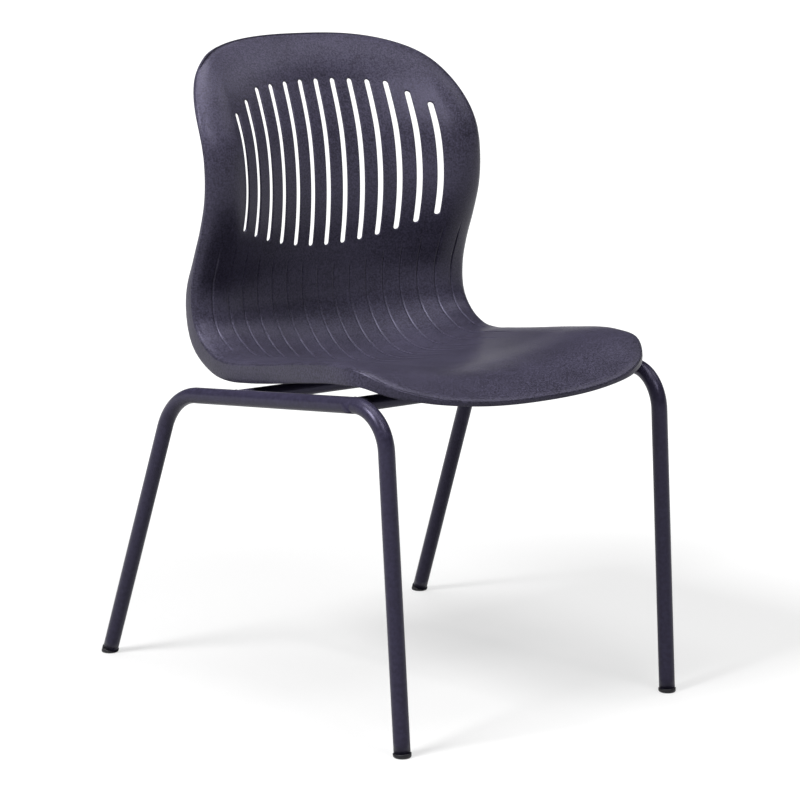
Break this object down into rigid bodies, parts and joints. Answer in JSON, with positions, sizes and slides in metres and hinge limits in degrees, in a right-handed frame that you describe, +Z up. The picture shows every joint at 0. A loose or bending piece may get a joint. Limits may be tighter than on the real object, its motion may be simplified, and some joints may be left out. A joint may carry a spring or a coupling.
{
  "type": "choir chair",
  "caption": "Stacking choir chair: a one-piece moulded shell with a slotted, grooved back on a welded bent-tube frame with push-in glides.",
  "frame": {"origin": "on the floor, midway between the four feet", "axes": "+Z up, the chair faces -Y, +X to the sitter's left, and the plane x = 0 is the plane of symmetry"},
  "size_m": [0.539, 0.5969, 0.8074],
  "materials": {
    "shell_plastic": "charcoal polypropylene with a fine moulded texture",
    "frame_paint": "satin charcoal powder coat on steel tube",
    "glide_nylon": "black moulded nylon",
    "screw_zinc": "bright zinc plate"
  },
  "bodies": {
    "root": {"seat_shell": "shell_plastic", "side_frame_left": "frame_paint", "side_frame_right": "frame_paint", "cross_rail_front": "frame_paint", "cross_rail_rear": "frame_paint", "glide_front_left": "glide_nylon", "glide_front_right": "glide_nylon", "glide_rear_left": "glide_nylon", "glide_rear_right": "glide_nylon", "shell_screws": "screw_zinc"}
  },
  "joints": []
}
